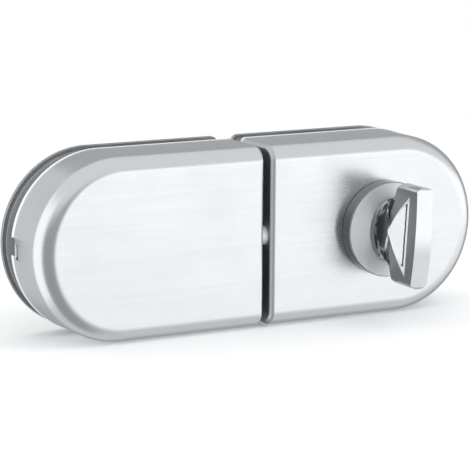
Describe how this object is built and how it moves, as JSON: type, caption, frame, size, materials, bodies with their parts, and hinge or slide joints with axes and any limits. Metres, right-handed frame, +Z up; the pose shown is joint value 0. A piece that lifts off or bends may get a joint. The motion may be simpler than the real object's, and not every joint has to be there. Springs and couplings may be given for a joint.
{
  "type": "glass door lock",
  "caption": "Double-leaf glass door lock in two D-shaped steel halves that clamp the glass, with a thumb turn, a key cylinder and a sliding deadbolt.",
  "frame": {"origin": "midway between the two halves, at half height, on the plane of the front face of the glass", "axes": "+X along the lock from the strike half to the lock half, +Y from the thumb turn's side through the glass to the key's side, +Z up"},
  "size_m": [0.2014, 0.0735, 0.0746],
  "materials": {
    "satin_steel": "fine horizontal brushing on drawn sheet",
    "plate_steel": "plain rolled steel plate",
    "polished_chrome": "mirror bright plating",
    "zinc_casting": "plain cast zinc, slightly grainy",
    "turned_brass": "turned",
    "spring_steel": "dark spring steel",
    "black_rubber": "matt pad rubber",
    "white_nylon": "moulded"
  },
  "bodies": {
    "housing": {"lock_cover": "satin_steel", "strike_cover": "satin_steel", "lock_base_plate": "plate_steel", "strike_base_plate": "plate_steel", "lock_back_plate": "plate_steel", "strike_back_plate": "plate_steel", "lock_front_pad": "black_rubber", "strike_front_pad": "black_rubber", "lock_back_pad": "black_rubber", "strike_back_pad": "black_rubber", "lock_spacer": "white_nylon", "strike_spacer": "white_nylon", "lock_clamp_screw_1": "zinc_casting", "lock_clamp_screw_2": "zinc_casting", "lock_clamp_screw_3": "zinc_casting", "lock_clamp_screw_4": "zinc_casting", "strike_clamp_screw_1": "zinc_casting", "strike_clamp_screw_2": "zinc_casting", "strike_clamp_screw_3": "zinc_casting", "strike_clamp_screw_4": "zinc_casting", "bolt_guide": "zinc_casting", "guide_screw_1": "zinc_casting", "guide_screw_2": "zinc_casting", "keeper": "zinc_casting", "keeper_screw_1": "zinc_casting", "keeper_screw_2": "zinc_casting", "bearing_bridge": "zinc_casting", "bridge_screw_top": "zinc_casting", "bridge_screw_bottom": "zinc_casting", "bolt_spring": "spring_steel", "spring_screw": "zinc_casting", "rose": "polished_chrome", "wave_washer": "spring_steel", "cylinder_body": "turned_brass", "cylinder_ring": "polished_chrome", "cylinder_screw_left": "zinc_casting", "cylinder_screw_right": "zinc_casting"},
    "turn_unit": {"thumb_turn": "polished_chrome", "retaining_clip": "spring_steel", "spindle": "plate_steel", "drive_pinion": "zinc_casting"},
    "bolt_unit": {"deadbolt": "polished_chrome", "rack_carriage": "zinc_casting", "carriage_pin": "zinc_casting"},
    "plug_unit": {"cylinder_plug": "polished_chrome", "tailpiece": "spring_steel"}
  },
  "joints": [
    {"name": "thumb_turn_spin", "type": "hinge", "parent": "housing", "child": "turn_unit", "pos_m": [0.0544, 0, 0], "axis": [0, 1, 0], "range_deg": [0, 90]},
    {"name": "bolt_throw", "type": "slide", "parent": "housing", "child": "bolt_unit", "axis": [1, 0, 0], "range_m": [0, 0.01414]},
    {"name": "key_plug_spin", "type": "hinge", "parent": "housing", "child": "plug_unit", "pos_m": [0.0544, 0, 0], "axis": [0, 1, 0], "range_deg": [0, 90]}
  ],
  "couplings": [
    {"joint": "bolt_throw", "follows": "thumb_turn_spin", "m_per_rad": 0.009},
    {"joint": "key_plug_spin", "follows": "thumb_turn_spin", "ratio": 1}
  ]
}
